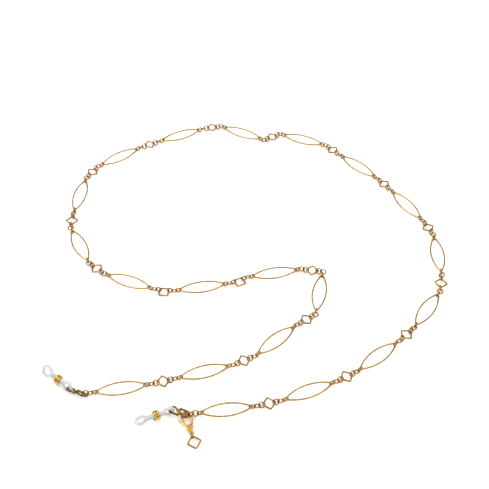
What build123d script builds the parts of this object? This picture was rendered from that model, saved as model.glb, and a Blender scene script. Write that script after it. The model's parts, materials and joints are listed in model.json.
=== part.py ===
from build123d import *
import os
from math import asin, atan2, cos, degrees, radians, sin, sqrt

# Eyeglasses chain strap: 20 pointed oval wire links and 19 square wire links joined by
# jump rings, with an S-hook and a soft temple loop at each end and a lobster clasp with
# a square charm. Millimetres, +Z up. The strap lies open on a table at Z = 0, and the
# origin is the middle of its outline, on the table.

# ---------------------------------------------------------------- driving dimensions
# Angles are in degrees. A wire's radius of bend is to the middle of the wire.
LINK_WIRE = 0.76            # wire of the oval links, the square links and the charm
OVAL_LENGTH = 22.2          # tip to tip, outside
OVAL_WIDTH = 7.0
OVAL_TIP_BEND = 0.45        # bend radius of the wire at each pointed tip
SQUARE_SIDE = 4.9           # outside
SQUARE_BEND = 0.42          # bend radius of the wire at each corner

RING_WIRE = 0.60            # jump rings
RING_RADIUS = 1.34          # to the middle of the wire
RING_SEAM = 2.0             # degrees left open where a ring's ends butt together
RING_GAP = 0.04             # play between two linked rings
TIP_REACH = 1.10            # how far a tip ring reaches inside the pointed tip
CORNER_REACH = 1.00         # how far a corner ring reaches inside the square's corner
SIDE_REACH = 0.75           # the same, from a side wire of a square hung by two corners
END_RING_RADIUS = 1.80      # the larger ring that carries the hook and the clasp
END_RING_WIRE = 0.64

MIDDLE_LEAN = -64.0         # how far each ring leans to the back of upright
CORNER_LEAN = 26.0
SHARP_TURN = 16.0           # a middle ring that turns further than this lies flat
FLAT = 90.0

HOOK_WIRE = 0.92
HOOK_BEND = 1.50            # bend radius of each S-hook eye
HOOK_SPAN = 5.60            # eye centre to eye centre
HOOK_ARM = 2.60             # straight length past each eye
HOOK_BALL = 1.30            # diameter of the ball at each arm's end
HOOK_EYE_SWEEP = 212.0      # how far the wire goes round an eye
SPINE_WIDTH = 1.42          # the flattened middle of the S-hook
SPINE_DEPTH = 0.74
SPINE_LENGTH = 3.20
SPINE_EDGE = 0.22           # rounding of the flattened part's edges

CORD = 1.50                 # silicone cord
CORD_EDGE = 0.45            # rounding of the cord's section
TAIL_BEND = 1.80
TEMPLE_BEND = 2.20          # end bend of the loop that grips the temple of the glasses
STRAND_OFFSET = 0.77        # from the loop's axis to each strand inside the coil
STRANDS_START = 4.90        # distances along the loop from its tail bend
TEMPLE_CENTRE = 14.10
COIL_WIRE = 0.62            # thickness of the coiled strip
COIL_STRIP = 0.98           # its width, along the loop
COIL_BORE = 1.62            # inner radius of the wire coil
COIL_PITCH = 1.06
COIL_TURNS = 2.1
COIL_CENTRE = 7.40

CLASP_DEPTH = 1.20          # thickness of the claw
CLASP_RIM = 0.20            # bevel on the casting's rims
CLASP_BASE_DEPTH = 1.70     # thickness at the rivet
CLAW_LENGTH = 4.00          # half length and half width of the claw's oval
CLAW_WIDTH = 2.45
CLAW_BAND = 0.95
RIVET_AT = 4.10             # from the claw's middle
RIVET_RADIUS = 0.35
HEAD_RADIUS = 0.53
HEAD_DEPTH = 0.12
HEAD_PLAY = 0.02            # between the rivet's heads and the boss
HUB_RADIUS = 1.00
BASE_RADIUS = 1.40
SLOT_RADIUS = 1.10
SLOT_WIDTH = 0.90
SLOT_SIDE = 0.50            # how far the slot runs to the far side of the claw's axis
GATE_REACH = 5.85           # from the rivet to the end of the lever's gate
GATE_SIDE = 0.20            # the gate's edge, from the claw's axis
LEVER_DEPTH = 0.50
LEVER_GAP = 0.10
RUNNING_GAP = 0.04
ARM_ROOT = (3.50, 0.45, 0.50)       # X, Y and radius where the lever's arm leaves its hub
ARM_END = (2.20, 1.55, 0.45)        # the same where the arm meets the gate
THUMB_ROOT = (0.90, 2.10, 0.40)     # and at the two ends of the thumb tab
THUMB_END = (0.10, 3.30, 0.45)
NECK_WIDTH = 1.30
EYE_AT = 6.55               # from the claw's middle
EYE_RADIUS = 1.10
EYE_HOLE = 0.56
EYE_DEPTH = 0.90
TAIL_RING_RADIUS = 1.25
TAIL_RING_WIRE = 0.50
TAIL_RING_SET = 0.02        # the tail ring's wire, beyond the middle of the clasp's eye
CHARM_REACH = 0.88          # how far the tail ring reaches inside the charm's corner
SPRING_WIRE = 0.14

# How the strap is laid on the table: the bend, in degrees, before and after each
# square link, counted from the left end. Positive bends to the left.
LAID_BENDS = (
    (5, 1), (10, 16), (-8, 45), (91, 21), (13, -14), (-16, -15), (-19, -23),
    (-27, -8), (-23, -24), (-8, -3), (-12, -38), (55, -50), (-26, 2), (-10, -3),
    (-10, -21), (-14, -22), (-11, -5), (-10, -7), (-8, -6),
)
FIRST_HEADING = 10.0
SIDE_HUNG = (5, 6)          # squares held at two neighbouring corners
BACK_HEADING = 98.0         # which way counts as the back when a ring leans

# ---------------------------------------------------------------- derived dimensions
OVALS = len(LAID_BENDS) + 1
WIRE_R = LINK_WIRE / 2
RING_R = RING_WIRE / 2
OVAL_REACH = OVAL_LENGTH / 2 - WIRE_R              # wire centre at a tip
OVAL_RISE = OVAL_WIDTH / 2 - WIRE_R
OVAL_ARC = ((OVAL_REACH - OVAL_TIP_BEND) ** 2 + OVAL_RISE**2 - OVAL_TIP_BEND**2) / (
    2 * (OVAL_RISE - OVAL_TIP_BEND)
)
SQUARE_HALF = (SQUARE_SIDE - LINK_WIRE) / 2
SQUARE_REACH = SQUARE_HALF * sqrt(2) - SQUARE_BEND * (sqrt(2) - 1)
LINKED = RING_RADIUS - RING_WIRE - RING_GAP         # ring centre to a linked ring's wire
TIP_TO_MIDDLE = 2 * RING_RADIUS - TIP_REACH + LINKED
MIDDLE_TO_CORNER = LINKED + 2 * RING_RADIUS - CORNER_REACH
MIDDLE_TO_SIDE = LINKED + 2 * RING_RADIUS
TEMPLE_RISE = TEMPLE_BEND - STRAND_OFFSET
STRANDS_END = TEMPLE_CENTRE - sqrt(4 * TEMPLE_BEND * TEMPLE_RISE - TEMPLE_RISE**2)
UP = Vector(0, 0, 1)


# ---------------------------------------------------------------- placing
def direction(heading, pitch=0.0):
    """Unit vector at a heading in the table, tipped up by the pitch."""
    flat = cos(radians(pitch))
    return Vector(flat * cos(radians(heading)), flat * sin(radians(heading)), sin(radians(pitch)))


BACKWARD = direction(BACK_HEADING)


def leaning_plane(centre, along, lean):
    """A plane whose X runs along the chain and whose Y leans back from upright."""
    back = UP.cross(along).normalized()
    if back.dot(BACKWARD) < 0:
        back = back * -1
    upright = (UP - along * UP.dot(along)).normalized()
    leaning = upright * cos(radians(lean)) + back * sin(radians(lean))
    return Plane(origin=centre, x_dir=along, z_dir=along.cross(leaning))


def lay_out_chain():
    """Places every oval and square link: one dict per link, from the left end."""
    ovals, squares = [], []
    heading = FIRST_HEADING
    tip = Vector(0, 0, 0)
    for number in range(1, OVALS + 1):
        along = direction(heading)
        far_tip = tip + along * (2 * OVAL_REACH)
        ovals.append({"start": tip, "end": far_tip, "along": along, "heading": heading})
        if number == OVALS:
            break
        before, after = LAID_BENDS[number - 1]
        side_hung = number in SIDE_HUNG
        across = direction(heading + before)
        first_middle = far_tip + along * TIP_TO_MIDDLE
        if side_hung:
            reach_in = 2 * (SQUARE_HALF - SIDE_REACH)
            first_hold = first_middle + across * MIDDLE_TO_SIDE
            last_hold = first_hold + across * reach_in
            last_middle = last_hold + across * MIDDLE_TO_SIDE
        else:
            first_hold = first_middle + across * MIDDLE_TO_CORNER
            last_hold = first_hold + across * (2 * SQUARE_REACH)
            last_middle = last_hold + across * MIDDLE_TO_CORNER
        heading += before + after
        next_along = direction(heading)
        tip = last_middle + next_along * TIP_TO_MIDDLE
        squares.append(
            {
                "before": along,
                "across": across,
                "after": next_along,
                "turns": (before, after),
                "side_hung": side_hung,
                "start": far_tip,
                "end": tip,
                "middles": (first_middle, last_middle),
                "holds": (first_hold, last_hold),
            }
        )
    return ovals, squares


# ---------------------------------------------------------------- wire pieces
def ring(plane, radius=RING_RADIUS, wire=RING_WIRE):
    """A round jump ring in the plane, with its seam at the top."""
    hoop = Torus(radius, wire / 2, major_angle=360 - RING_SEAM)
    return plane * (Rot(0, 0, 90) * hoop)


def oval_link():
    """A pointed oval of round wire, flat in XY about the origin."""
    rise_centre = OVAL_ARC - OVAL_RISE
    tip_centre = OVAL_REACH - OVAL_TIP_BEND
    half_sweep = degrees(asin(tip_centre / (OVAL_ARC - OVAL_TIP_BEND)))
    tip_sweep = 180 - 2 * half_sweep
    path = Wire(
        [
            CenterArc((0, -rise_centre), OVAL_ARC, 90 - half_sweep, 2 * half_sweep),
            CenterArc((-tip_centre, 0), OVAL_TIP_BEND, 90 + half_sweep, tip_sweep),
            CenterArc((0, rise_centre), OVAL_ARC, 270 - half_sweep, 2 * half_sweep),
            CenterArc((tip_centre, 0), OVAL_TIP_BEND, 270 + half_sweep, tip_sweep),
        ]
    )
    section = Plane(path @ 0, z_dir=path % 0) * Circle(WIRE_R)
    return sweep(section, path=path)


def square_link():
    """A square of round wire, flat in XY about the origin, with corners on X and Y."""
    side = 2 * SQUARE_HALF
    path = Rot(0, 0, 45) * RectangleRounded(side, side, SQUARE_BEND).face().outer_wire()
    section = Plane(path @ 0, z_dir=path % 0) * Circle(WIRE_R)
    return sweep(section, path=path)


def square_connector(place, square):
    """One square link with the six jump rings that join it to the ovals on each side."""
    first_hold, last_hold = place["holds"]
    centre = (first_hold + last_hold) * 0.5
    across = place["across"]
    if place["side_hung"]:
        sideways = across.cross(UP)
        if sideways.Y > 0:
            sideways = sideways * -1
        centre = centre + sideways * (SQUARE_HALF - SIDE_REACH)
        diagonal = (across + sideways).normalized()
    else:
        diagonal = across
    pieces = [Plane(origin=centre, x_dir=diagonal, z_dir=UP) * square]
    reach = 0 if place["side_hung"] else CORNER_REACH
    hold_lean = 0 if place["side_hung"] else CORNER_LEAN
    ends = (
        (place["start"], place["before"], place["middles"][0], first_hold, across, place["turns"][0]),
        (place["end"], place["after"] * -1, place["middles"][1], last_hold, across * -1, place["turns"][1]),
    )
    for tip, outward, middle, hold, inward, turn in ends:
        halfway = (outward + inward).normalized()
        middle_lean = FLAT if abs(turn) > SHARP_TURN else MIDDLE_LEAN
        tip_centre = tip + outward * (RING_RADIUS - TIP_REACH)
        hold_centre = hold + inward * (reach - RING_RADIUS)
        pieces.append(ring(leaning_plane(tip_centre, outward, 0)))
        pieces.append(ring(leaning_plane(middle, halfway, middle_lean)))
        pieces.append(ring(leaning_plane(hold_centre, inward, hold_lean)))
    return pieces


def end_rings(tip, along, leans, end_radius, end_wire):
    """The tip ring, middle ring and end ring beyond the chain's last tip."""
    middle = tip + along * TIP_TO_MIDDLE
    end_near = middle + along * (RING_RADIUS - RING_R - RING_GAP - end_wire / 2)
    end_centre = end_near + along * end_radius
    pieces = [
        ring(leaning_plane(tip + along * (RING_RADIUS - TIP_REACH), along, 0)),
        ring(leaning_plane(middle, along, leans[0])),
        ring(leaning_plane(end_centre, along, leans[1]), end_radius, end_wire),
    ]
    return pieces, leaning_plane(end_centre, along, leans[1])


def s_hook():
    """An S-hook flat in XY. The eye centres are at the origin and at X = HOOK_SPAN."""
    half = HOOK_SPAN / 2
    slope = asin(HOOK_BEND / half)
    start = 90 - degrees(slope)
    eye = CenterArc((-half, 0), HOOK_BEND, start, HOOK_EYE_SWEEP)
    arm_start = eye @ 1
    arm_end = arm_start + (eye % 1) * HOOK_ARM
    arm = Line(arm_start, arm_end)
    leave = eye @ 0
    spine = Line(leave, leave * -1)
    half_path = Wire([arm, eye])
    section = Plane(arm_end, z_dir=(eye % 1)) * Circle(HOOK_WIRE / 2)
    bent = sweep(section, path=half_path)
    straight = sweep(Plane(leave, z_dir=spine % 0) * Circle(HOOK_WIRE / 2), path=spine)
    ball = Pos(arm_end) * Sphere(HOOK_BALL / 2)
    swage = Rot(0, 0, -degrees(slope)) * Box(SPINE_LENGTH, SPINE_WIDTH, SPINE_DEPTH)
    swage = fillet(swage.edges(), SPINE_EDGE)
    one_side = bent + ball
    other_side = Rot(0, 0, 180) * one_side
    return Pos(half, 0, 0) * (one_side + other_side + straight + swage)


# ---------------------------------------------------------------- temple loop
def easing(start, step, rise):
    """Two equal arcs that step sideways by the rise between two parallel runs."""
    radius = (step**2 + rise**2) / (4 * abs(rise))
    sweep_angle = degrees(2 * atan2(rise, step))
    first = JernArc(start, (1, 0), radius, sweep_angle)
    second = JernArc(first @ 1, first % 1, radius, -sweep_angle)
    return [first, second]


def temple_loop():
    """The silicone cord loop in XY. Its tail bend's wire centre is at the origin."""
    tail_step = STRANDS_START - TAIL_BEND
    temple_step = TEMPLE_CENTRE - STRANDS_END
    upper = (
        [CenterArc((TAIL_BEND, 0), TAIL_BEND, 180, -90)]
        + easing((TAIL_BEND, TAIL_BEND), tail_step, STRAND_OFFSET - TAIL_BEND)
        + [Line((STRANDS_START, STRAND_OFFSET), (STRANDS_END, STRAND_OFFSET))]
        + easing((STRANDS_END, STRAND_OFFSET), temple_step, TEMPLE_RISE)
        + [CenterArc((TEMPLE_CENTRE, 0), TEMPLE_BEND, 90, -90)]
    )
    lower = [mirror(edge, about=Plane.XZ).edge() for edge in upper]
    path = Wire(upper + lower)
    outline = make_face(path.offset_2d(CORD / 2)) - make_face(path.offset_2d(-CORD / 2))
    band = Pos(0, 0, -CORD / 2) * extrude(outline, CORD)
    return fillet(band.faces().filter_by(Axis.Z).edges(), CORD_EDGE)


def wire_coil():
    """The wire coil that holds the two strands together, wound about X."""
    height = COIL_PITCH * COIL_TURNS
    radius = COIL_BORE + COIL_WIRE / 2
    path = Helix(COIL_PITCH, height, radius)
    section = Plane(path @ 0, x_dir=(1, 0, 0), z_dir=path % 0) * Ellipse(COIL_WIRE / 2, COIL_STRIP / 2)
    coil = sweep(section, path=path, is_frenet=True)
    return Pos(COIL_CENTRE - height / 2, 0, 0) * (Rot(0, 90, 0) * coil)


# ---------------------------------------------------------------- lobster clasp
def claw_outline():
    """The claw's oval band, before it is parted for the lever."""
    outer = Ellipse(CLAW_LENGTH, CLAW_WIDTH)
    inner = Ellipse(CLAW_LENGTH - CLAW_BAND, CLAW_WIDTH - CLAW_BAND)
    return outer - inner


def lever_window(grow=0.0):
    """The side of the band that the lever takes over, within the reach of its gate."""
    reach = GATE_REACH + grow
    swept = Pos(RIVET_AT, 0) * Circle(reach)
    return swept & (Pos(RIVET_AT - reach / 2, reach / 2 + GATE_SIDE) * Rectangle(reach, reach))


def slab(outline, depth):
    """A flat piece of even depth about the clasp's plane, with its rims broken."""
    piece = Pos(0, 0, -depth / 2) * extrude(outline, depth)
    return chamfer(piece.faces().filter_by(Axis.Z).edges(), CLASP_RIM)


def clasp_body():
    """The cast body: claw, rivet boss with its slot, and the eye at the tail."""
    claw = slab(claw_outline() - lever_window(LEVER_GAP), CLASP_DEPTH)
    boss = slab(Pos(RIVET_AT, 0) * Circle(BASE_RADIUS), CLASP_BASE_DEPTH)
    neck = Pos((RIVET_AT + EYE_AT) / 2, 0, 0) * Box(EYE_AT - RIVET_AT, NECK_WIDTH, EYE_DEPTH)
    eye = slab(Pos(EYE_AT, 0) * Circle(EYE_RADIUS), EYE_DEPTH)
    body = claw + boss + neck + eye
    body -= Pos(EYE_AT, 0, 0) * Cylinder(EYE_HOLE, 2 * EYE_DEPTH)
    slot = Pos(RIVET_AT, 0, 0) * Cylinder(SLOT_RADIUS, SLOT_WIDTH)
    mouth_length = RIVET_AT - EYE_HOLE * 2
    mouth_width = CLAW_WIDTH + SLOT_SIDE
    mouth = Pos(RIVET_AT - mouth_length / 2, mouth_width / 2 - SLOT_SIDE, 0) * Box(
        mouth_length, mouth_width, SLOT_WIDTH
    )
    body -= slot + mouth
    body -= Pos(RIVET_AT, 0, 0) * Cylinder(RIVET_RADIUS + RUNNING_GAP, 2 * CLASP_BASE_DEPTH)
    return body


def bar(first, last):
    """A flat bar's outline, with a round end about each (X, Y, radius)."""
    rounds = [Pos(x, y) * Circle(radius) for x, y, radius in (first, last)]
    return make_hull(rounds[0].edges() + rounds[1].edges())


def clasp_lever():
    """The sprung lever: hub on the rivet, gate along the claw, and thumb tab."""
    gate = claw_outline() & lever_window()
    hub = Pos(RIVET_AT, 0) * Circle(HUB_RADIUS)
    arms = bar(ARM_ROOT, ARM_END) + bar(THUMB_ROOT, THUMB_END)
    outline = gate + hub + arms - Pos(RIVET_AT, 0) * Circle(RIVET_RADIUS + RUNNING_GAP)
    return Pos(0, 0, -SLOT_WIDTH / 2 + RUNNING_GAP) * extrude(outline, LEVER_DEPTH)


def clasp_spring():
    """The small torsion spring on the rivet, beside the lever's hub."""
    room = SLOT_WIDTH - LEVER_DEPTH - 3 * RUNNING_GAP - SPRING_WIRE
    path = Helix(room, room, RIVET_RADIUS + 2 * SPRING_WIRE)
    section = Plane(path @ 0, z_dir=path % 0) * Circle(SPRING_WIRE / 2)
    coil = sweep(section, path=path, is_frenet=True)
    start = SLOT_WIDTH / 2 - RUNNING_GAP - SPRING_WIRE / 2 - room
    return Pos(RIVET_AT, 0, start) * coil


def clasp_rivet():
    """The rivet through the boss, with a low head on each side."""
    head_at = (CLASP_BASE_DEPTH + HEAD_DEPTH) / 2 + HEAD_PLAY
    shank = Cylinder(RIVET_RADIUS, 2 * head_at)
    head = Cylinder(HEAD_RADIUS, HEAD_DEPTH)
    return Pos(RIVET_AT, 0, 0) * (shank + Pos(0, 0, head_at) * head + Pos(0, 0, -head_at) * head)


# ---------------------------------------------------------------- the two ends
# Leans are as for the rings; a lift moves a piece along its ring; a heading is the way
# from the ring or hook to the next piece, with its pitch above the table.
def far_wire(ring_plane, radius, lift):
    """A point in the wire of an end ring, on its outer side, lifted within its plane."""
    reach = sqrt(radius**2 - lift**2)
    return ring_plane.origin + ring_plane.x_dir * reach + ring_plane.y_dir * lift


def place_end(side, ring_plane, radius):
    """The planes of the S-hook and the temple loop at one end."""
    at_ring = far_wire(ring_plane, radius, side["hook_lift"])
    hook_plane = leaning_plane(at_ring, direction(*side["hook_heading"]), side["hook_lean"])
    at_loop = at_ring + hook_plane.x_dir * HOOK_SPAN
    loop_plane = leaning_plane(at_loop, direction(*side["loop_heading"]), side["loop_lean"])
    return hook_plane, loop_plane


LEFT = {
    "ring_leans": (MIDDLE_LEAN, 34.0),
    "hook_lift": 0.0,
    "hook_heading": (159.0, 5.0),
    "hook_lean": -54.0,
    "loop_heading": (141.0, 3.0),
    "loop_lean": 38.0,
}
RIGHT = {
    "ring_leans": (FLAT, -8.0),
    "hook_lift": 0.60,
    "hook_heading": (160.0, 2.0),
    "hook_lean": -FLAT,
    "loop_heading": (203.0, 2.5),
    "loop_lean": 6.0,
}
CLASP_LIFT = -0.60          # where the claw holds the right end ring
CLASP_HEADING = -72.0
CLASP_HOLD = 2.30           # from the claw's middle to the ring wire inside it
CHARM_DIP = -5.0            # the charm tips down to the table


def square_charm():
    """The square that hangs from the clasp: its held corner is at the origin."""
    return Pos(SQUARE_REACH, 0, 0) * square_link()


def place_clasp(ring_plane):
    """The plane of the lobster clasp, with its claw's middle at the origin."""
    at_ring = far_wire(ring_plane, END_RING_RADIUS, CLASP_LIFT)
    along = direction(CLASP_HEADING)
    return leaning_plane(at_ring + along * CLASP_HOLD, along, -FLAT)


def lay_out_strap():
    """The places of every link and end piece."""
    ovals, squares = lay_out_chain()
    left_rings, left_ring_plane = end_rings(
        ovals[0]["start"], ovals[0]["along"] * -1, LEFT["ring_leans"], RING_RADIUS, RING_WIRE
    )
    right_rings, right_ring_plane = end_rings(
        ovals[-1]["end"], ovals[-1]["along"], RIGHT["ring_leans"], END_RING_RADIUS, END_RING_WIRE
    )
    left_hook, left_loop = place_end(LEFT, left_ring_plane, RING_RADIUS)
    right_hook, right_loop = place_end(RIGHT, right_ring_plane, END_RING_RADIUS)
    return {
        "ovals": ovals,
        "squares": squares,
        "left_rings": left_rings,
        "right_rings": right_rings,
        "left_hook": left_hook,
        "left_loop": left_loop,
        "right_hook": right_hook,
        "right_loop": right_loop,
        "clasp": place_clasp(right_ring_plane),
    }


def build_nodes(layout):
    """Every node's solids, in the layout's own frame."""
    oval = oval_link()
    square = square_link()
    hook = s_hook()
    loop = temple_loop()
    coil = wire_coil()
    nodes = {}
    for number, place in enumerate(layout["ovals"], 1):
        centre = (place["start"] + place["end"]) * 0.5
        nodes[f"marquise_link_{number:02d}"] = [Plane(origin=centre, x_dir=place["along"], z_dir=UP) * oval]
    for number, place in enumerate(layout["squares"], 1):
        nodes[f"square_link_and_rings_{number:02d}"] = square_connector(place, square)
    for side in ("left", "right"):
        nodes[f"{side}_end_rings"] = layout[f"{side}_rings"]
        nodes[f"{side}_s_hook"] = [layout[f"{side}_hook"] * hook]
        nodes[f"{side}_silicone_loop"] = [layout[f"{side}_loop"] * loop]
        nodes[f"{side}_wire_coil"] = [layout[f"{side}_loop"] * coil]
    clasp = layout["clasp"]
    nodes["lobster_body"] = [clasp * clasp_body()]
    nodes["lobster_lever"] = [clasp * clasp_lever()]
    nodes["lobster_spring"] = [clasp * clasp_spring()]
    nodes["lobster_rivet"] = [clasp * clasp_rivet()]
    eye = clasp.origin + clasp.x_dir * (EYE_AT + TAIL_RING_SET)
    tail_centre = eye + clasp.x_dir * TAIL_RING_RADIUS
    tail_plane = leaning_plane(tail_centre, clasp.x_dir, 0)
    nodes["lobster_tail_ring"] = [ring(tail_plane, TAIL_RING_RADIUS, TAIL_RING_WIRE)]
    held = tail_centre + clasp.x_dir * (TAIL_RING_RADIUS - CHARM_REACH)
    charm_plane = leaning_plane(held, direction(CLASP_HEADING, CHARM_DIP), FLAT)
    nodes["square_charm"] = [charm_plane * square_charm()]
    return nodes


def outline_centre(nodes):
    """The middle of the strap's outline on the table, which becomes the origin."""
    boxes = [solid.bounding_box() for solids in nodes.values() for solid in solids]
    middle_x = (min(box.min.X for box in boxes) + max(box.max.X for box in boxes)) / 2
    middle_y = (min(box.min.Y for box in boxes) + max(box.max.Y for box in boxes)) / 2
    return middle_x, middle_y, min(box.min.Z for box in boxes)


def main():
    nodes = build_nodes(lay_out_strap())
    middle_x, middle_y, lowest = outline_centre(nodes)
    os.makedirs("parts", exist_ok=True)
    for name, solids in nodes.items():
        moved = [Pos(-middle_x, -middle_y, -lowest) * solid for solid in solids]
        export_step(Compound(children=moved), f"parts/{name}.step")


if __name__ == "__main__":
    main()
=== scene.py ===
import json
import math
import bpy
from mathutils import Matrix, Vector


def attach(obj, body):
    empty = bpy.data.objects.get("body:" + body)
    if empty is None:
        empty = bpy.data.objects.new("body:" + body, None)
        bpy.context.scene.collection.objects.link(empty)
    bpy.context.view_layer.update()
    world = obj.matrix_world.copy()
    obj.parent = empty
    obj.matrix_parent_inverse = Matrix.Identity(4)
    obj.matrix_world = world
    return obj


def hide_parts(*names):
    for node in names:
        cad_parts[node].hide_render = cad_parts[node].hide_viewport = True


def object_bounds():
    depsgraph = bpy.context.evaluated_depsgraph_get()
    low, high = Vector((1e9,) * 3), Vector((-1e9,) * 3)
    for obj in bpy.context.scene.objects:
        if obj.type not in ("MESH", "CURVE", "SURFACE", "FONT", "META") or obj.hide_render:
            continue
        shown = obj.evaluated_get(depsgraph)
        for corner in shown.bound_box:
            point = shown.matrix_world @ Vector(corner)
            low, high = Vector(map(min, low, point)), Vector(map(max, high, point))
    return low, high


# Looks of the eyeglasses chain strap: gold wire ovals, cloudy silicone temple loops,
# chunky coils, swaged S-hooks and a cast lobster clasp on a white table. Metres, +Z up.

MM = 0.001

# ---------------------------------------------------------------- sizes of the pieces
LINK_WIRE = 0.76 * MM
OVAL_WIDTH = 7.0 * MM
OVAL_TIP_BEND = 0.45 * MM
TWIST_LOBES = 4                  # flats round the twisted wire
TWIST_DEPTH = 0.012              # how deep the flats are, as a share of the wire
TWIST_PITCH = 9.0 * MM           # length of one full twist

HOOK_WIRE = 0.92 * MM
HOOK_BEND = 1.50 * MM
HOOK_ARM = 2.60 * MM
HOOK_BALL = 1.30 * MM
HOOK_EYE_SWEEP = math.radians(212.0)
SPINE_WIDTH = 1.42 * MM
SPINE_DEPTH = 0.74 * MM
SPINE_LENGTH = 3.20 * MM

CORD = 1.50 * MM
TAIL_BEND = 1.80 * MM
TEMPLE_BEND = 2.20 * MM
STRAND_OFFSET = 0.77 * MM
STRANDS_START = 4.90 * MM
TEMPLE_CENTRE = 14.10 * MM
TEMPLE_RISE = TEMPLE_BEND - STRAND_OFFSET
STRANDS_END = TEMPLE_CENTRE - math.sqrt(4 * TEMPLE_BEND * TEMPLE_RISE - TEMPLE_RISE**2)
COIL_WIRE = 0.62 * MM            # thickness of the coiled strip, and its width along the loop
COIL_STRIP = 0.98 * MM
COIL_BORE = 1.62 * MM
COIL_PITCH = 1.06 * MM
COIL_TURNS = 2.1
COIL_CENTRE = 7.40 * MM

# ---------------------------------------------------------------- mesh fineness
SIDE_STEPS = 72                  # stations along one side of an oval
TIP_STEPS = 14
SPINE_STEPS = 16
ARM_STEPS = 24
BEND_STEPS = 40
EASING_STEPS = 12
STRAND_STEPS = 20
SPINE_FLAT = 0.35                # where the spine's flat starts to round off, and ends
SPINE_ROUND = 0.65
POINT = 0.02 * MM                # radius left at the end of a ball
COIL_ROWS = 110
COIL_SIDES = 18
COIL_TAPER = 3.0                 # rows over which the strip's ends round off
COIL_BLUNT = 0.3
CAST_GRAIN = 0.075 * MM          # mesh size of the clasp's castings
CAST_SOFTENING = 14              # rounds of smoothing that soften their rims
FLOOR_GAP = 0.02 * MM

# ---------------------------------------------------------------- camera
FOCAL = 67.36                    # mm, on the default 36 mm sensor
CAMERA_HEIGHT = math.radians(47.7)
CAMERA_DISTANCE = 0.445
AIM = Vector((-0.0037, 0.0105, 0.0021))

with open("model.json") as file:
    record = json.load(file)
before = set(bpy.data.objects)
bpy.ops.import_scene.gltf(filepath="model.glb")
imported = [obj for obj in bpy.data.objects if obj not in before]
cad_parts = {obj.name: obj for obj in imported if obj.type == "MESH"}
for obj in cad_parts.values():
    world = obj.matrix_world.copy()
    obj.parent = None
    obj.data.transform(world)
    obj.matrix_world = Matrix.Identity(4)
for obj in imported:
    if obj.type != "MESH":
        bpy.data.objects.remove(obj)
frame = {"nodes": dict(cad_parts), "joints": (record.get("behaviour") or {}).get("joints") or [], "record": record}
cad_low, cad_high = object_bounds()
joints = {joint["name"]: joint for joint in frame["joints"]}
mounts = {mount["name"]: mount for mount in frame["record"]["mounts"]}


# ---------------------------------------------------------------- paths and sweeps
STRAIGHT = 1e-9                  # a bend smaller than this, in radians, is a straight run


def walk(start, heading, moves):
    """Stations (x, y, heading) along a flat path made of (length, turn, steps) moves."""
    x, y = start
    stations = [(x, y, heading)]
    for length, turn, steps in moves:
        step = length / steps
        bend = turn / steps
        for _ in range(steps):
            chord = step if abs(bend) < STRAIGHT else 2 * step / bend * math.sin(bend / 2)
            x += chord * math.cos(heading + bend / 2)
            y += chord * math.sin(heading + bend / 2)
            heading += bend
            stations.append((x, y, heading))
    return stations


def arc(radius, turn, steps):
    """One move round an arc; a negative turn bends to the right."""
    return (radius * abs(turn), turn, steps)


def sweep(name, stations, section, sides=16, closed=False):
    """A mesh tube along flat stations. section(distance, angle) gives (across, up) in metres."""
    if closed:
        stations = stations[:-1]
    vertices = []
    travelled = 0.0
    last = stations[0]
    for station in stations:
        travelled += math.dist(station[:2], last[:2])
        last = station
        x, y, heading = station
        for k in range(sides):
            across, up = section(travelled, 2 * math.pi * k / sides)
            vertices.append((x - math.sin(heading) * across, y + math.cos(heading) * across, up))
    rows = len(stations)
    faces = []
    for i in range(rows if closed else rows - 1):
        for k in range(sides):
            a, b = i * sides + k, i * sides + (k + 1) % sides
            c, d = (i + 1) % rows * sides + (k + 1) % sides, (i + 1) % rows * sides + k
            faces.append((a, d, c, b))
    if not closed:
        faces.append(tuple(range(sides)))
        faces.append(tuple(reversed(range((rows - 1) * sides, rows * sides))))
    return smooth_mesh(name, vertices, faces)


def smooth_mesh(name, vertices, faces):
    """A mesh whose faces are all shaded smooth."""
    mesh = bpy.data.meshes.new(name)
    mesh.from_pydata(vertices, [], faces)
    mesh.validate()
    for polygon in mesh.polygons:
        polygon.use_smooth = True
    return mesh


def put(name, mesh, place, material, body, node):
    """Adds a piece that stands for one CAD node."""
    obj = bpy.data.objects.new(name, mesh)
    bpy.context.scene.collection.objects.link(obj)
    obj.matrix_world = place
    if not mesh.materials:
        mesh.materials.append(material)
    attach(obj, body)
    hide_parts(node)
    return obj


def place_between(origin, toward, up):
    """A place at origin whose X points toward a point and whose Z is the up direction."""
    x = (Vector(toward) - Vector(origin)).normalized()
    z = Vector(up).normalized()
    y = z.cross(x).normalized()
    z = x.cross(y)
    place = Matrix((x, y, z)).transposed().to_4x4()
    place.translation = Vector(origin)
    return place


# ---------------------------------------------------------------- materials
def new_material(name):
    """A material with its nodes, its links and its shader."""
    material = bpy.data.materials.new(name)
    material.use_nodes = True
    nodes = material.node_tree.nodes
    return material, nodes, material.node_tree.links, nodes["Principled BSDF"]


def noise(nodes, links, scale, detail=3.0):
    """A 0 to 1 noise that stays fixed to the piece."""
    place = nodes.new("ShaderNodeTexCoord")
    texture = nodes.new("ShaderNodeTexNoise")
    texture.inputs["Scale"].default_value = scale
    texture.inputs["Detail"].default_value = detail
    links.new(place.outputs["Object"], texture.inputs["Vector"])
    return texture.outputs["Fac"]


def spread(nodes, links, value, low, high):
    """Maps a 0 to 1 value onto low to high."""
    remap = nodes.new("ShaderNodeMapRange")
    remap.inputs["From Min"].default_value = 0.3
    remap.inputs["From Max"].default_value = 0.7
    remap.inputs["To Min"].default_value = low
    remap.inputs["To Max"].default_value = high
    links.new(value, remap.inputs["Value"])
    return remap.outputs["Result"]


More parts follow.
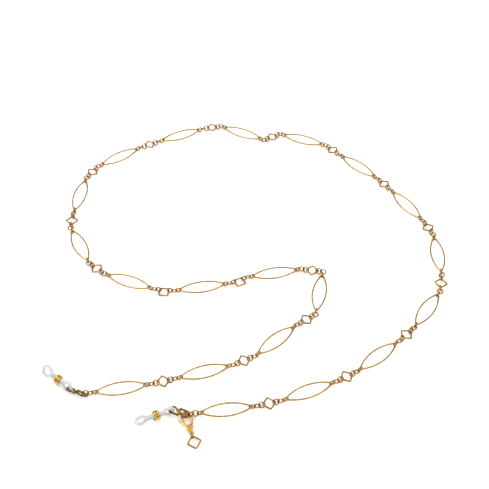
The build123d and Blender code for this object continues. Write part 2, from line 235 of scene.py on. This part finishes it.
def gold(name, bright, deep, roughness, grain=900.0, relief=0.25):
    """Gold plate: its colour, polish and fine surface grain all vary a little."""
    material, nodes, links, shader = new_material(name)
    shader.inputs["Metallic"].default_value = 1.0
    colours = nodes.new("ShaderNodeValToRGB")
    colours.color_ramp.elements[0].position = 0.35
    colours.color_ramp.elements[0].color = (*deep, 1)
    colours.color_ramp.elements[1].position = 0.65
    colours.color_ramp.elements[1].color = (*bright, 1)
    links.new(noise(nodes, links, grain * 0.4), colours.inputs["Fac"])
    links.new(colours.outputs["Color"], shader.inputs["Base Color"])
    polish = spread(nodes, links, noise(nodes, links, grain), roughness * 0.7, roughness * 1.4)
    links.new(polish, shader.inputs["Roughness"])
    bump = nodes.new("ShaderNodeBump")
    bump.inputs["Strength"].default_value = relief
    bump.inputs["Distance"].default_value = 0.05 * MM
    links.new(noise(nodes, links, grain * 2.5), bump.inputs["Height"])
    links.new(bump.outputs["Normal"], shader.inputs["Normal"])
    return material


def silicone():
    """Clear-white silicone, slightly cloudy and not quite smooth."""
    material, nodes, links, shader = new_material("silicone")
    cloud = nodes.new("ShaderNodeValToRGB")
    cloud.color_ramp.elements[0].color = (0.44, 0.45, 0.43, 1)
    cloud.color_ramp.elements[1].color = (0.57, 0.58, 0.56, 1)
    links.new(noise(nodes, links, 500.0), cloud.inputs["Fac"])
    links.new(cloud.outputs["Color"], shader.inputs["Base Color"])
    shader.inputs["Transmission Weight"].default_value = 0.12
    shader.inputs["IOR"].default_value = 1.41
    shader.inputs["Subsurface Weight"].default_value = 0.2
    shader.inputs["Subsurface Scale"].default_value = 1.5 * MM
    gloss = spread(nodes, links, noise(nodes, links, 1200.0), 0.25, 0.42)
    links.new(gloss, shader.inputs["Roughness"])
    bump = nodes.new("ShaderNodeBump")
    bump.inputs["Strength"].default_value = 0.15
    bump.inputs["Distance"].default_value = 0.05 * MM
    links.new(noise(nodes, links, 900.0), bump.inputs["Height"])
    links.new(bump.outputs["Normal"], shader.inputs["Normal"])
    return material


# ---------------------------------------------------------------- oval links
def twisted_wire(travelled, angle):
    """The oval links' wire: round, with shallow flats that twist along it."""
    turn = 2 * math.pi * travelled / TWIST_PITCH
    radius = LINK_WIRE / 2 * (1 + TWIST_DEPTH * math.cos(TWIST_LOBES * angle + turn))
    return radius * math.cos(angle), radius * math.sin(angle)


def oval_mesh(reach):
    """A pointed oval of wire, flat in XY, whose tips' wire centres are at X = +-reach."""
    rise = OVAL_WIDTH / 2 - LINK_WIRE / 2
    tip = OVAL_TIP_BEND
    side = ((reach - tip) ** 2 + rise**2 - tip**2) / (2 * (rise - tip))
    half = math.asin((reach - tip) / (side - tip))
    moves = [
        arc(side, -2 * half, SIDE_STEPS),
        arc(tip, -(math.pi - 2 * half), TIP_STEPS),
    ] * 2
    start = (-side * math.sin(half), side * math.cos(half) - (side - rise))
    return sweep("oval", walk(start, half, moves), twisted_wire, sides=16, closed=True)


def add_ovals(material):
    """Lays an oval between the two fold joints of each oval link."""
    for name, joint in joints.items():
        if not name.endswith("_near_tip_fold"):
            continue
        body = joint["child"]
        number = body[-2:]
        near = Vector(joint["pos_m"])
        far = Vector(joints[f"marquise_{number}_far_tip_fold"]["pos_m"])
        place = place_between((near + far) / 2, far, (0, 0, 1))
        mesh = oval_mesh((far - near).length / 2)
        put(f"oval_{number}", mesh, place, material, body, f"marquise_link_{number}")


# ---------------------------------------------------------------- S-hooks
def hook_section(half_length):
    """Round wire that is flattened in the middle and ends in a ball at each tip."""

    def section(travelled, angle):
        across = up = HOOK_WIRE / 2
        off_middle = abs(travelled - half_length)
        flat = 1 - smoothstep(SPINE_LENGTH * SPINE_FLAT, SPINE_LENGTH * SPINE_ROUND, off_middle)
        across += (SPINE_WIDTH - HOOK_WIRE) / 2 * flat
        up += (SPINE_DEPTH - HOOK_WIRE) / 2 * flat
        to_tip = half_length - off_middle
        ball = HOOK_BALL / 2
        if to_tip < 2 * ball:
            swell = math.sqrt(max(ball**2 - (to_tip - ball) ** 2, 0.0))
            across = max(swell, across if to_tip > ball else POINT)
            up = max(swell, up if to_tip > ball else POINT)
        return across * math.cos(angle), up * math.sin(angle)

    return section


def smoothstep(low, high, value):
    """0 below low and 1 above high, with a soft change between."""
    t = min(max((value - low) / (high - low), 0.0), 1.0)
    return t * t * (3 - 2 * t)


def hook_mesh(span):
    """An S-hook flat in XY, with its eye centres at the origin and at X = span."""
    half = span / 2
    slope = math.asin(HOOK_BEND / half)
    straight = math.sqrt(half**2 - HOOK_BEND**2)
    moves = [
        (straight, 0.0, SPINE_STEPS),
        arc(HOOK_BEND, HOOK_EYE_SWEEP, BEND_STEPS),
        (HOOK_ARM + HOOK_BALL / 2, 0.0, ARM_STEPS),
    ]
    one_way = walk((0.0, 0.0), math.pi - slope, moves)
    back = [(x, y, heading + math.pi) for x, y, heading in reversed(one_way)]
    out = [(-x, -y, heading + math.pi) for x, y, heading in one_way]
    stations = [(x + half, y, heading) for x, y, heading in back + out[1:]]
    length = sum(math.dist(a[:2], b[:2]) for a, b in zip(stations, stations[1:]))
    return sweep("s_hook", stations, hook_section(length / 2), sides=24)


# ---------------------------------------------------------------- temple loops
def easing(step, rise):
    """Two equal arcs that step sideways by the rise."""
    radius = (step**2 + rise**2) / (4 * abs(rise))
    turn = 2 * math.atan2(rise, step)
    return [arc(radius, turn, EASING_STEPS), arc(radius, -turn, EASING_STEPS)]


def loop_mesh():
    """The silicone cord loop, flat in XY, with its tail bend's wire centre at the origin."""
    near = easing(STRANDS_START - TAIL_BEND, STRAND_OFFSET - TAIL_BEND)
    far = easing(TEMPLE_CENTRE - STRANDS_END, TEMPLE_BEND - STRAND_OFFSET)
    run = [(STRANDS_END - STRANDS_START, 0.0, STRAND_STEPS)]
    bend = [arc(TEMPLE_BEND, -math.pi, BEND_STEPS)]
    quarter = [arc(TAIL_BEND, -math.pi / 2, BEND_STEPS // 2)]
    strand = near + run + far
    moves = quarter + strand + bend + strand[::-1] + quarter
    stations = walk((0.0, 0.0), math.pi / 2, moves)
    radius = CORD / 2
    return sweep(
        "silicone_loop",
        stations,
        lambda travelled, angle: (radius * math.cos(angle), radius * math.sin(angle)),
        sides=24,
        closed=True,
    )


def coil_mesh():
    """A close coil of wire about X, with rounded ends."""
    rows, sides = COIL_ROWS, COIL_SIDES
    wind = COIL_BORE + COIL_WIRE / 2
    height = COIL_PITCH * COIL_TURNS
    vertices, faces = [], []
    for i in range(rows + 1):
        share = i / rows
        turn = 2 * math.pi * COIL_TURNS * share
        x = COIL_CENTRE + height * (share - 0.5)
        from_end = min(share, 1 - share) * rows
        taper = math.sin(min(from_end + COIL_BLUNT, COIL_TAPER) / COIL_TAPER * math.pi / 2)
        for k in range(sides):
            angle = 2 * math.pi * k / sides
            radius = wind + taper * COIL_WIRE / 2 * math.cos(angle)
            along = x + taper * COIL_STRIP / 2 * math.sin(angle)
            vertices.append((along, radius * math.cos(turn), radius * math.sin(turn)))
    for i in range(rows):
        for k in range(sides):
            a, b = i * sides + k, i * sides + (k + 1) % sides
            faces.append((a, b, b + sides, a + sides))
    faces.append(tuple(reversed(range(sides))))
    faces.append(tuple(range(rows * sides, (rows + 1) * sides)))
    return smooth_mesh("wire_coil", vertices, faces)


def add_ends(hook_material, loop_material, coil_material):
    """The S-hook, silicone loop and coil at each end."""
    for side in ("left", "right"):
        hook_joint = joints[f"hook_{side}_swing"]
        loop_joint = joints[f"loop_{side}_swing"]
        temple = mounts[f"{side}_temple_loop"]
        ring_eye = Vector(hook_joint["pos_m"])
        loop_eye = Vector(loop_joint["pos_m"])
        hook_place = place_between(ring_eye, loop_eye, hook_joint["axis"])
        loop_place = place_between(loop_eye, temple["pos_m"], temple["axis"])
        pieces = (
            ("s_hook", hook_mesh((loop_eye - ring_eye).length), hook_place, hook_material, "hook", "s_hook"),
            ("cord", loop_mesh(), loop_place, loop_material, "loop", "silicone_loop"),
            ("coil", coil_mesh(), loop_place, coil_material, "coil", "wire_coil"),
        )
        slots = ("hook_gold", "silicone", "coil_gold")
        for slot, (name, mesh, place, material, body, node) in zip(slots, pieces):
            put(f"{name}_{side}", mesh, place, material, f"{side}_{body}", f"{side}_{node}")


# ---------------------------------------------------------------- CAD pieces that stay
def dress(node, material):
    """Gives a CAD node a material and smooth shading."""
    obj = frame["nodes"][node]
    obj.data.materials.clear()
    obj.data.materials.append(material)
    for polygon in obj.data.polygons:
        polygon.use_smooth = True


def cast(node, body, material):
    """Stands a softly rounded casting in a CAD node's place, made from the node's own shape."""
    shape = frame["nodes"][node]
    obj = bpy.data.objects.new(f"cast_{node}", shape.data.copy())
    bpy.context.scene.collection.objects.link(obj)
    obj.matrix_world = shape.matrix_world.copy()
    obj.data.materials.clear()
    obj.data.materials.append(material)
    skin = obj.modifiers.new("skin", "REMESH")
    skin.mode = "VOXEL"
    skin.voxel_size = CAST_GRAIN
    skin.use_smooth_shade = True
    soften = obj.modifiers.new("soften", "SMOOTH")
    soften.factor = 0.5
    soften.iterations = CAST_SOFTENING
    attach(obj, body)
    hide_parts(node)


# ---------------------------------------------------------------- studio
def add_floor():
    """A plain white table under the strap."""
    mesh = bpy.data.meshes.new("floor")
    half = 3.0
    corners = [(-half, -half, 0), (half, -half, 0), (half, half, 0), (-half, half, 0)]
    mesh.from_pydata(corners, [], [(0, 1, 2, 3)])
    floor = bpy.data.objects.new("floor", mesh)
    floor.location.z = min(0.0, cad_low.z) - FLOOR_GAP
    bpy.context.scene.collection.objects.link(floor)
    material, _, _, shader = new_material("white_table")
    shader.inputs["Base Color"].default_value = (0.96, 0.96, 0.96, 1)
    shader.inputs["Roughness"].default_value = 0.9
    shader.inputs["Specular IOR Level"].default_value = 0.1
    mesh.materials.append(material)


def add_softbox(name, place, aim, size, power):
    """A rectangular lamp that faces a point."""
    light = bpy.data.lights.new(name, "AREA")
    light.shape = "RECTANGLE"
    light.size, light.size_y = size
    light.energy = power
    lamp = bpy.data.objects.new(name, light)
    lamp.location = place
    lamp.rotation_euler = (Vector(aim) - Vector(place)).to_track_quat("-Z", "Y").to_euler()
    bpy.context.scene.collection.objects.link(lamp)


def add_world():
    """White for the camera and the floor; the metal also sees a darker horizon."""
    world = bpy.data.worlds.new("studio")
    bpy.context.scene.world = world
    world.use_nodes = True
    nodes, links = world.node_tree.nodes, world.node_tree.links
    background = nodes["Background"]
    rays = nodes.new("ShaderNodeLightPath")
    place = nodes.new("ShaderNodeTexCoord")
    height = nodes.new("ShaderNodeSeparateXYZ")
    links.new(place.outputs["Generated"], height.inputs["Vector"])
    sky = nodes.new("ShaderNodeValToRGB")
    sky.color_ramp.elements[0].position = 0.0
    sky.color_ramp.elements[0].color = (0.05, 0.03, 0.02, 1)
    sky.color_ramp.elements[1].position = 0.9
    sky.color_ramp.elements[1].color = (1.05, 1.03, 1.0, 1)
    links.new(height.outputs["Z"], sky.inputs["Fac"])
    mix = nodes.new("ShaderNodeMix")
    mix.data_type = "RGBA"
    mix.inputs["A"].default_value = (1.35, 1.35, 1.36, 1)
    links.new(rays.outputs["Is Glossy Ray"], mix.inputs["Factor"])
    links.new(sky.outputs["Color"], mix.inputs["B"])
    links.new(mix.outputs["Result"], background.inputs["Color"])
    background.inputs["Strength"].default_value = 1.0


def add_camera():
    """The camera at the viewing angle, looking at the aim point."""
    data = bpy.data.cameras.new("camera")
    data.lens = FOCAL
    data.clip_start = 0.01
    camera = bpy.data.objects.new("camera", data)
    back = Vector((0, -math.cos(CAMERA_HEIGHT), math.sin(CAMERA_HEIGHT)))
    camera.location = AIM + back * CAMERA_DISTANCE
    camera.rotation_euler = (-back).to_track_quat("-Z", "Y").to_euler()
    bpy.context.scene.collection.objects.link(camera)
    bpy.context.scene.camera = camera


link_gold = gold("link_gold", (0.54, 0.33, 0.09), (0.30, 0.15, 0.03), 0.20)
oval_gold = gold("oval_gold", (0.58, 0.35, 0.09), (0.38, 0.20, 0.04), 0.26)
hook_gold = gold("hook_gold", (0.26, 0.16, 0.03), (0.13, 0.07, 0.01), 0.30, relief=0.5)
bright_gold = gold("bright_gold", (0.74, 0.46, 0.08), (0.50, 0.27, 0.03), 0.22)
clasp_gold = gold("clasp_gold", (0.78, 0.48, 0.09), (0.58, 0.31, 0.04), 0.24)
rivet_steel = gold("rivet_steel", (0.36, 0.36, 0.42), (0.22, 0.22, 0.28), 0.30)
steel = gold("spring_steel", (0.55, 0.55, 0.57), (0.4, 0.4, 0.42), 0.3)

add_ovals(oval_gold)
add_ends(hook_gold, silicone(), bright_gold)
for number in range(1, 20):
    dress(f"square_link_and_rings_{number:02d}", link_gold)
for node in ("left_end_rings", "right_end_rings", "lobster_tail_ring", "square_charm"):
    dress(node, link_gold)
cast("lobster_body", "clasp", clasp_gold)
cast("lobster_lever", "clasp_lever", clasp_gold)
dress("lobster_rivet", rivet_steel)
dress("lobster_spring", steel)

add_floor()
add_softbox("key", (-0.35, 0.15, 0.75), (0, 0, 0), (0.45, 0.45), 2.0)
add_softbox("fill", (0.5, -0.5, 0.6), (0, 0, 0), (0.4, 0.4), 1.0)
add_world()
add_camera()
bpy.context.scene.view_settings.view_transform = "Standard"
